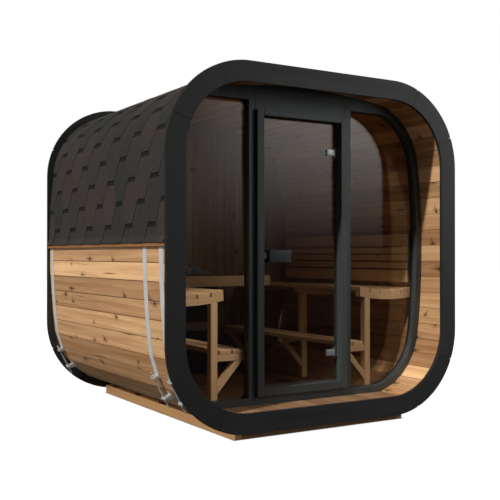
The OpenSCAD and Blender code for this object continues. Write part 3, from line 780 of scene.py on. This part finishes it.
# ------------------------------------------------------------------ black trim and front wall
def ring_grain(x, y, z):
    ax, az = abs(x), z - ZM
    cz = H / 2 - CORNER
    if ax > W / 2 - CORNER and abs(az) > cz:
        a = math.atan2(abs(az) - cz, ax - (W / 2 - CORNER))
        if 22.5 * D < a < 67.5 * D:
            s = 0.7071
            px_, pz = x * (1 if x > 0 else -1), az * (1 if az > 0 else -1)
            return ((px_ - pz) * s + 3 * (x > 0) + 7 * (az > 0), (px_ + pz) * s, y)
        return (z, x, y) if a <= 22.5 * D else (x, z, y)
    return (z, x, y) if ax > W / 2 - 0.13 and abs(az) < cz + 0.2 else (x, z, y)


for n_ in ("front_trim_sides", "back_trim_sides"):
    carry(n_, TRIM, 0.0011, "z")
for n_ in ("front_trim_rails", "back_trim_rails"):
    carry(n_, TRIM, 0.0011, "x")
for n_ in ("front_trim_corners", "back_trim_corners"):
    carry(n_, TRIM, 0.0011, ring_grain)
for n_ in ("window_frame_left", "window_frame_right"):
    carry(n_, FRAMEM, 0.0018, "z")
carry("front_wall_rails", FRAMEM, 0.0015, "x")
carry("door_frame_jambs", FRAMEM, 0.0030, "z")
carry("door_frame_rails", FRAMEM, 0.0030, "x")
for n_ in ("window_glass_left", "window_glass_right", "door_glass"):
    o = NODES[n_]
    o.data.materials.clear()
    o.data.materials.append(GLASS)

# ------------------------------------------------------------------ door furniture
carry("door_handle", GRIP, 0.0045, "x", seg=3, soft=34)
carry("door_latch", LATCH_GLINT, 0.0022, "x", seg=3, soft=34)
carry("door_hinge_clamps", CLAMP, 0.0028, "x", seg=3, soft=34)
carry("hinge_plates", PLATE, 0.0012, "x", seg=2)

# ------------------------------------------------------------------ straps
carry("strap_bands", STEEL, 0.0005, "z", seg=1)
carry("strap_clamps", FITTING, 0.0014, "z", seg=2, soft=32)
carry("strap_rods", FITTING, 0.0007, "z", seg=1)

# ------------------------------------------------------------------ benches
BE, SLAT, SP = 0.507, 0.079, 0.088
BZ, SZ = FZ + 0.676, FZ + 0.324
BY0, BY1 = WY + 0.055 + 0.015, RY - 0.002


def dish(x):
    u = (x - BE) / (4 * SP + SLAT)
    return BZ - 0.086 * u + 0.072 * u * u


LEGS = [BY0, BY0 + 0.707, BY1 - 0.060]
EDG = [BE + i * SP + e for i in range(5) for e in (0, SLAT)]
for side, sx in (("left", -1), ("right", 1)):
    mb = MB()
    for i in range(5):
        a, b = BE + i * SP, BE + i * SP + SLAT
        q = [(sx * a, dish(a)), (sx * b, dish(b)), (sx * b, dish(b) - 0.028), (sx * a, dish(a) - 0.028)]
        quad_prism(mb, q[0], q[1], q[2], q[3], BY0, BY1, 0.0035, 0.002, dk=0.0, end=0.003)
    mb.obj(side + "_bench_slats", BENCH, "cabin", [side + "_bench_top"])
    mb = MB()
    for i in range(2):
        plank(mb, (sx * (0.365 + i * SP), BY0, SZ - 0.028), (0, 1, 0), (sx, 0, 0), (0, 0, 1), BY1 - BY0, SLAT, 0.028, 0.003)
    mb.obj(side + "_step_slats", BENCH, "cabin", [side + "_lower_bench"])
    mb = MB()
    for y in LEGS:
        # post
        plank(mb, (sx * 0.545, y, FZ), (0, 0, 1), (sx, 0, 0), (0, 1, 0), dish(0.567) - 0.028 - 0.037 - FZ + 0.001, 0.045, 0.045, 0.0025)
        # dished bearer
        rings, gcs = [], []
        ru = rnd.random() * 40
        for x in EDG + [0.962]:
            zt = dish(min(x, EDG[-1])) - 0.0281
            zb = zt - 0.0369
            c = 0.0022
            sec = [(y, zb + c), (y + c, zb), (y + 0.045 - c, zb), (y + 0.045, zb + c), (y + 0.045, zt - c), (y + 0.045 - c, zt), (y + c, zt), (y, zt - c)]
            rings.append([(sx * x, p[0], p[1]) for p in sec])
            gcs.append([(x + ru, p[1] - zt + ru, p[0] + ru) for p in sec])
        mb.add(rings, gcs, [[0] * 8] * len(rings), new_tone())
        # arm of the lower bench, and its brace
        plank(mb, (sx * 0.365, y, SZ - 0.065), (sx, 0, 0), (0, 0, 1), (0, 1, 0), 0.180, 0.0369, 0.045, 0.0022)
        A_, B_ = Vector((0.545, 0, SZ - 0.225)), Vector((0.402, 0, SZ - 0.065))
        c = 0.0022
        pts = [(0.545, SZ - 0.251), (0.545, SZ - 0.199), (0.427, SZ - 0.0652), (0.377, SZ - 0.0652)]
        rings, gcs = [], []
        ru = rnd.random() * 40
        u = (B_ - A_).normalized()
        for yy, k in ((y, 1), (y + c, 0), (y + 0.045 - c, 0), (y + 0.045, 1)):
            cxm, czm = sum(p[0] for p in pts) / 4, sum(p[1] for p in pts) / 4
            f = 1 - 0.02 * k
            q = [(cxm + (p[0] - cxm) * (f if 0 else 1) - 0, p[1]) for p in pts]
            if k:
                q = [(q[0][0], q[0][1] + c), (q[1][0], q[1][1] - c), (q[2][0] - c, q[2][1]), (q[3][0] + c, q[3][1])]
            rings.append([(sx * p[0], yy, p[1]) for p in q])
            gcs.append([((p[0] - 0.545) * u.x + (p[1] - SZ) * u.z + ru, (p[0] - 0.545) * u.z - (p[1] - SZ) * u.x + ru, yy + ru) for p in q])
        mb.add(rings, gcs, [[0] * 4] * 4, new_tone())
    mb.obj(side + "_bench_posts", BENCH, "cabin", [side + "_bench_frame"])
    mb = MB()
    for a, b in ((0.263, 0.345), (0.213, 0.256), (0.162, 0.207), (0.110, 0.156), (0.018, 0.103)):
        # dk=0.95: painted shade in the gaps between the backrest slats
        plank(mb, (sx * 0.907, BY0, BZ + a), (0, 1, 0), (0, 0, 1), (sx, 0, 0), 1.460, b - a, 0.018, 0.0040, dk=0.95)
    for y in (BY0 + 0.030, BY0 + 0.707, BY0 + 1.390):
        plank(mb, (sx * 0.925, y, BZ + 0.018), (0, 0, 1), (0, 1, 0), (sx, 0, 0), 0.327, 0.045, 0.038, 0.002)
    mb.obj(side + "_backrest_slats", BENCH, "cabin", [side + "_backrest"])
carry("heater_rail", BENCH, 0.004, "x", seg=3, soft=34)

# ------------------------------------------------------------------ heater
carry("heater_body", HEATER, 0.003, "z")
lo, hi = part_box("heater_body")
mb = MB()


def band(z0, z1, d):
    pts = [(lo.x - d, lo.y - d), (hi.x + d, lo.y - d), (hi.x + d, hi.y + d), (lo.x - d, hi.y + d)]
    ins = [(lo.x + 0.0005, lo.y + 0.0005), (hi.x - 0.0005, lo.y + 0.0005), (hi.x - 0.0005, hi.y - 0.0005), (lo.x + 0.0005, hi.y - 0.0005)]
    b = len(mb.v)
    for z in (z0, z1):
        for p in pts + ins:
            mb.v.append((p[0], p[1], z))
            mb.gc.append((p[0], p[1], z))
            mb.tone.append(0.5)
            mb.dark.append(0.0)
    for i in range(4):
        j = (i + 1) % 4
        mb.f += [(b + i, b + j, b + 8 + j, b + 8 + i), (b + 4 + j, b + 4 + i, b + 12 + i, b + 12 + j),
                 (b + i, b + 4 + i, b + 4 + j, b + j), (b + 8 + i, b + 8 + j, b + 12 + j, b + 12 + i)]


band(0.458, 0.520, 0.0015)
band(hi.z - 0.030, hi.z - 0.001, 0.004)
mb.obj("heater_bands", HBAND, "cabin", ())
slo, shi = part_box("heater_stones")
mb = MB()
ico = bmesh.new()
bmesh.ops.create_icosphere(ico, subdivisions=2, radius=1.0)
ico_v = [v.co.copy() for v in ico.verts]
ico_f = [[v.index for v in f.verts] for f in ico.faces]
ico.free()


def stone(c, r):
    b = len(mb.v)
    rot = Matrix.Rotation(rnd.random() * 6.28, 3, Vector((rnd.uniform(-1, 1), rnd.uniform(-1, 1), rnd.uniform(-1, 1))).normalized())
    sc = Vector((rnd.uniform(0.8, 1.25), rnd.uniform(0.75, 1.1), rnd.uniform(0.6, 0.9)))
    off = Vector((rnd.random() * 50, rnd.random() * 50, 0))
    tone = rnd.random()
    for v in ico_v:
        k = 1 + 0.28 * noise.noise(v * 1.1 + off) + 0.10 * noise.noise(v * 3.1 + off)
        p = rot @ Vector((v.x * sc.x, v.y * sc.y, v.z * sc.z)) * (r * k)
        q = c + p
        q.x = min(max(q.x, slo.x), shi.x)
        q.y = min(max(q.y, slo.y), shi.y)
        mb.v.append(tuple(q))
        mb.gc.append(tuple(q))
        mb.tone.append(tone)
        mb.dark.append(0.0)
    mb.f += [tuple(b + i for i in f) for f in ico_f]


for lay, zc in enumerate((hi.z - 0.030, hi.z + 0.004, hi.z + 0.034)):
    m = 0.028 + lay * 0.036
    nx_, ny_ = (7, 7) if lay == 0 else ((6, 5) if lay == 1 else (4, 3))
    for i in range(nx_):
        for j in range(ny_):
            cx_ = slo.x + m + (shi.x - slo.x - 2 * m) * (i + 0.5 * (j % 2) * 0.6) / max(1, nx_ - 0.7)
            cy_ = slo.y + m + (shi.y - slo.y - 2 * m) * j / max(1, ny_ - 1)
            stone(Vector((cx_ + rnd.uniform(-0.006, 0.006), cy_ + rnd.uniform(-0.006, 0.006), zc + rnd.uniform(-0.008, 0.008))), rnd.uniform(0.024, 0.034))
mb.obj("heater_stone_pile", STONE, "cabin", ["heater_stones"], smooth=50)

# ------------------------------------------------------------------ stage and light
fm = NT("floor_stage")
em = fm.n("Emission")
em.inputs[0].default_value = (1, 1, 1, 1)
# painted shadow: inside the base footprint the floor's glow and colour fall to near black, standing in for the contact
# shadow under the cabin
fo_ = fm.n("SeparateXYZ")
fm.put(fo_.inputs[0], fm.n("TexCoord").outputs["Object"])
ox = fm.math("SUBTRACT", fm.math("ABSOLUTE", fo_.outputs[0]), 0.60)
oy = fm.math("SUBTRACT", fm.math("ABSOLUTE", fm.math("ADD", fo_.outputs[1], 0.01)), 0.935)
fm.put(em.inputs[1], fm.rng(fm.math("MAXIMUM", ox, oy), -0.004, 0.02, 0.0, 0.97, True))
df = fm.n("BsdfDiffuse")
fm.put(df.inputs[0], fm.mix(fm.rng(fm.math("MAXIMUM", ox, oy), -0.004, 0.02, 0, 1, True), (0.10, 0.10, 0.10, 1), (0.86, 0.86, 0.86, 1)))
ad = fm.n("AddShader")
fm.put(ad.inputs[0], em.outputs[0])
fm.put(ad.inputs[1], df.outputs[0])
fm.put(fm.out.inputs[0], ad.outputs[0])
me = bpy.data.meshes.new("studio_floor")
me.from_pydata([(-30, -30, 0), (30, -30, 0), (30, 30, 0), (-30, 30, 0)], [], [(0, 1, 2, 3)])
me.materials.append(fm.m)
floor = bpy.data.objects.new("studio_floor", me)
bpy.context.scene.collection.objects.link(floor)
floor.visible_diffuse = False
floor.visible_glossy = False
floor.visible_transmission = True


def sun(name, to, strength, angle, colour=(1, 1, 1)):
    d = bpy.data.lights.new(name, "SUN")
    d.energy, d.angle, d.color = strength, angle * D, colour
    o = bpy.data.objects.new(name, d)
    o.rotation_euler = Vector(to).to_track_quat("Z", "Y").to_euler()
    bpy.context.scene.collection.objects.link(o)
    return o


key = sun("key_left", (-3.5, -1.0, 3.3), 2.95, 2.0, (1.0, 0.985, 0.965))


def area(name, pos, aim, size, power, colour=(1, 1, 1)):
    d = bpy.data.lights.new(name, "AREA")
    d.shape, d.size, d.energy, d.color = "SQUARE", size, power, colour
    o = bpy.data.objects.new(name, d)
    o.location = pos
    o.rotation_euler = (Vector(pos) - Vector(aim)).to_track_quat("Z", "Y").to_euler()
    o.visible_glossy = False
    o.visible_camera = False
    bpy.context.scene.collection.objects.link(o)
    return o


front = area("front_right", (1.15, -2.45, 1.95), (0, -0.6, 0.8), 0.7, 22, (1.0, 0.99, 0.975))
bench_l = area("bench_steep_left", (0.05, -1.75, 2.75), (-0.1, -0.655, 0.7), 0.5, 88, (1.0, 0.99, 0.97))
bench_r = area("bench_steep_right", (0.05, -1.75, 2.75), (-0.1, -0.655, 0.7), 0.5, 32, (1.0, 0.99, 0.97))
fill = sun("fill_back_right", (2.4, 2.2, 1.5), 1.7, 25.0, (0.99, 0.995, 1.0))
low = sun("left_low", (-1.0, -0.35, 0.16), 0.9, 6.0, (1.0, 0.985, 0.965))


def link_light(lights, names, state):
    """Lights that reach only some pieces, or all but some."""
    c = bpy.data.collections.new("link_" + lights[0].name)
    for n in names:
        c.objects.link(bpy.data.objects[n])
    for l in lights:
        l.light_linking.receiver_collection = c
    for x in c.collection_objects:
        x.light_linking.link_state = state


link_light([key, front, fill], ["studio_floor"], "EXCLUDE")
link_light([bench_l], ["left_" + b for b in ("bench_slats", "bench_posts", "step_slats")], "INCLUDE")
link_light([bench_r], ["right_" + b for b in ("bench_slats", "bench_posts", "step_slats")], "INCLUDE")
link_light([low], ["base_side_boards"], "INCLUDE")

w = bpy.data.worlds.new("studio")
bpy.context.scene.world = w
w.use_nodes = True
t = NT.__new__(NT)
t.t = w.node_tree
t.t.nodes.clear()
t.out = t.n("OutputWorld")
tc = t.n("TexCoord").outputs["Generated"]
sx_ = t.n("SeparateXYZ")
t.put(sx_.inputs[0], tc)
X_, Y_, Z_ = sx_.outputs
# diffuse light: a soft dome, brighter above and to the left
dome = t.math("ADD", t.rng(Z_, -0.4, 1.0, 0.03, 0.165), t.math("MULTIPLY", t.math("MULTIPLY", t.rng(X_, 0.0, -1.0, 0, 1), t.rng(t.math("ABSOLUTE", t.math("SUBTRACT", Z_, 0.05)), 0.6, 0.05, 0, 1, True)), t.rng(Y_, -0.45, 0.05, 0.0, 1.25, True)))
# reflections: one soft light low on the front right, and a faint dome
az = t.math("ADD", t.math("MULTIPLY", X_, 0.743), t.math("MULTIPLY", Y_, -0.669))
soft = t.math("MULTIPLY", t.rng(az, 0.90, 0.985, 0, 1, True), t.rng(Z_, -0.015, 0.30, 0, 1, True))
gloss = t.math("ADD", t.math("MULTIPLY", soft, 3.35), t.rng(Z_, -0.1, 0.9, 0.02, 0.17))
lp = t.n("LightPath")
v = t.math("ADD", t.math("MULTIPLY", lp.outputs["Is Glossy Ray"], gloss), t.math("MULTIPLY", t.math("SUBTRACT", 1.0, lp.outputs["Is Glossy Ray"]), dome))
v = t.math("ADD", t.math("MULTIPLY", lp.outputs["Is Camera Ray"], 1.0), t.math("MULTIPLY", t.math("SUBTRACT", 1.0, lp.outputs["Is Camera Ray"]), v))
bg = t.n("Background")
bg.inputs[0].default_value = (1, 1, 1, 1)
t.put(bg.inputs[1], v)
t.put(t.out.inputs[0], bg.outputs[0])

sc = bpy.context.scene
sc.view_settings.view_transform = "Standard"
sc.view_settings.look = "None"
sc.view_settings.exposure = 0.0
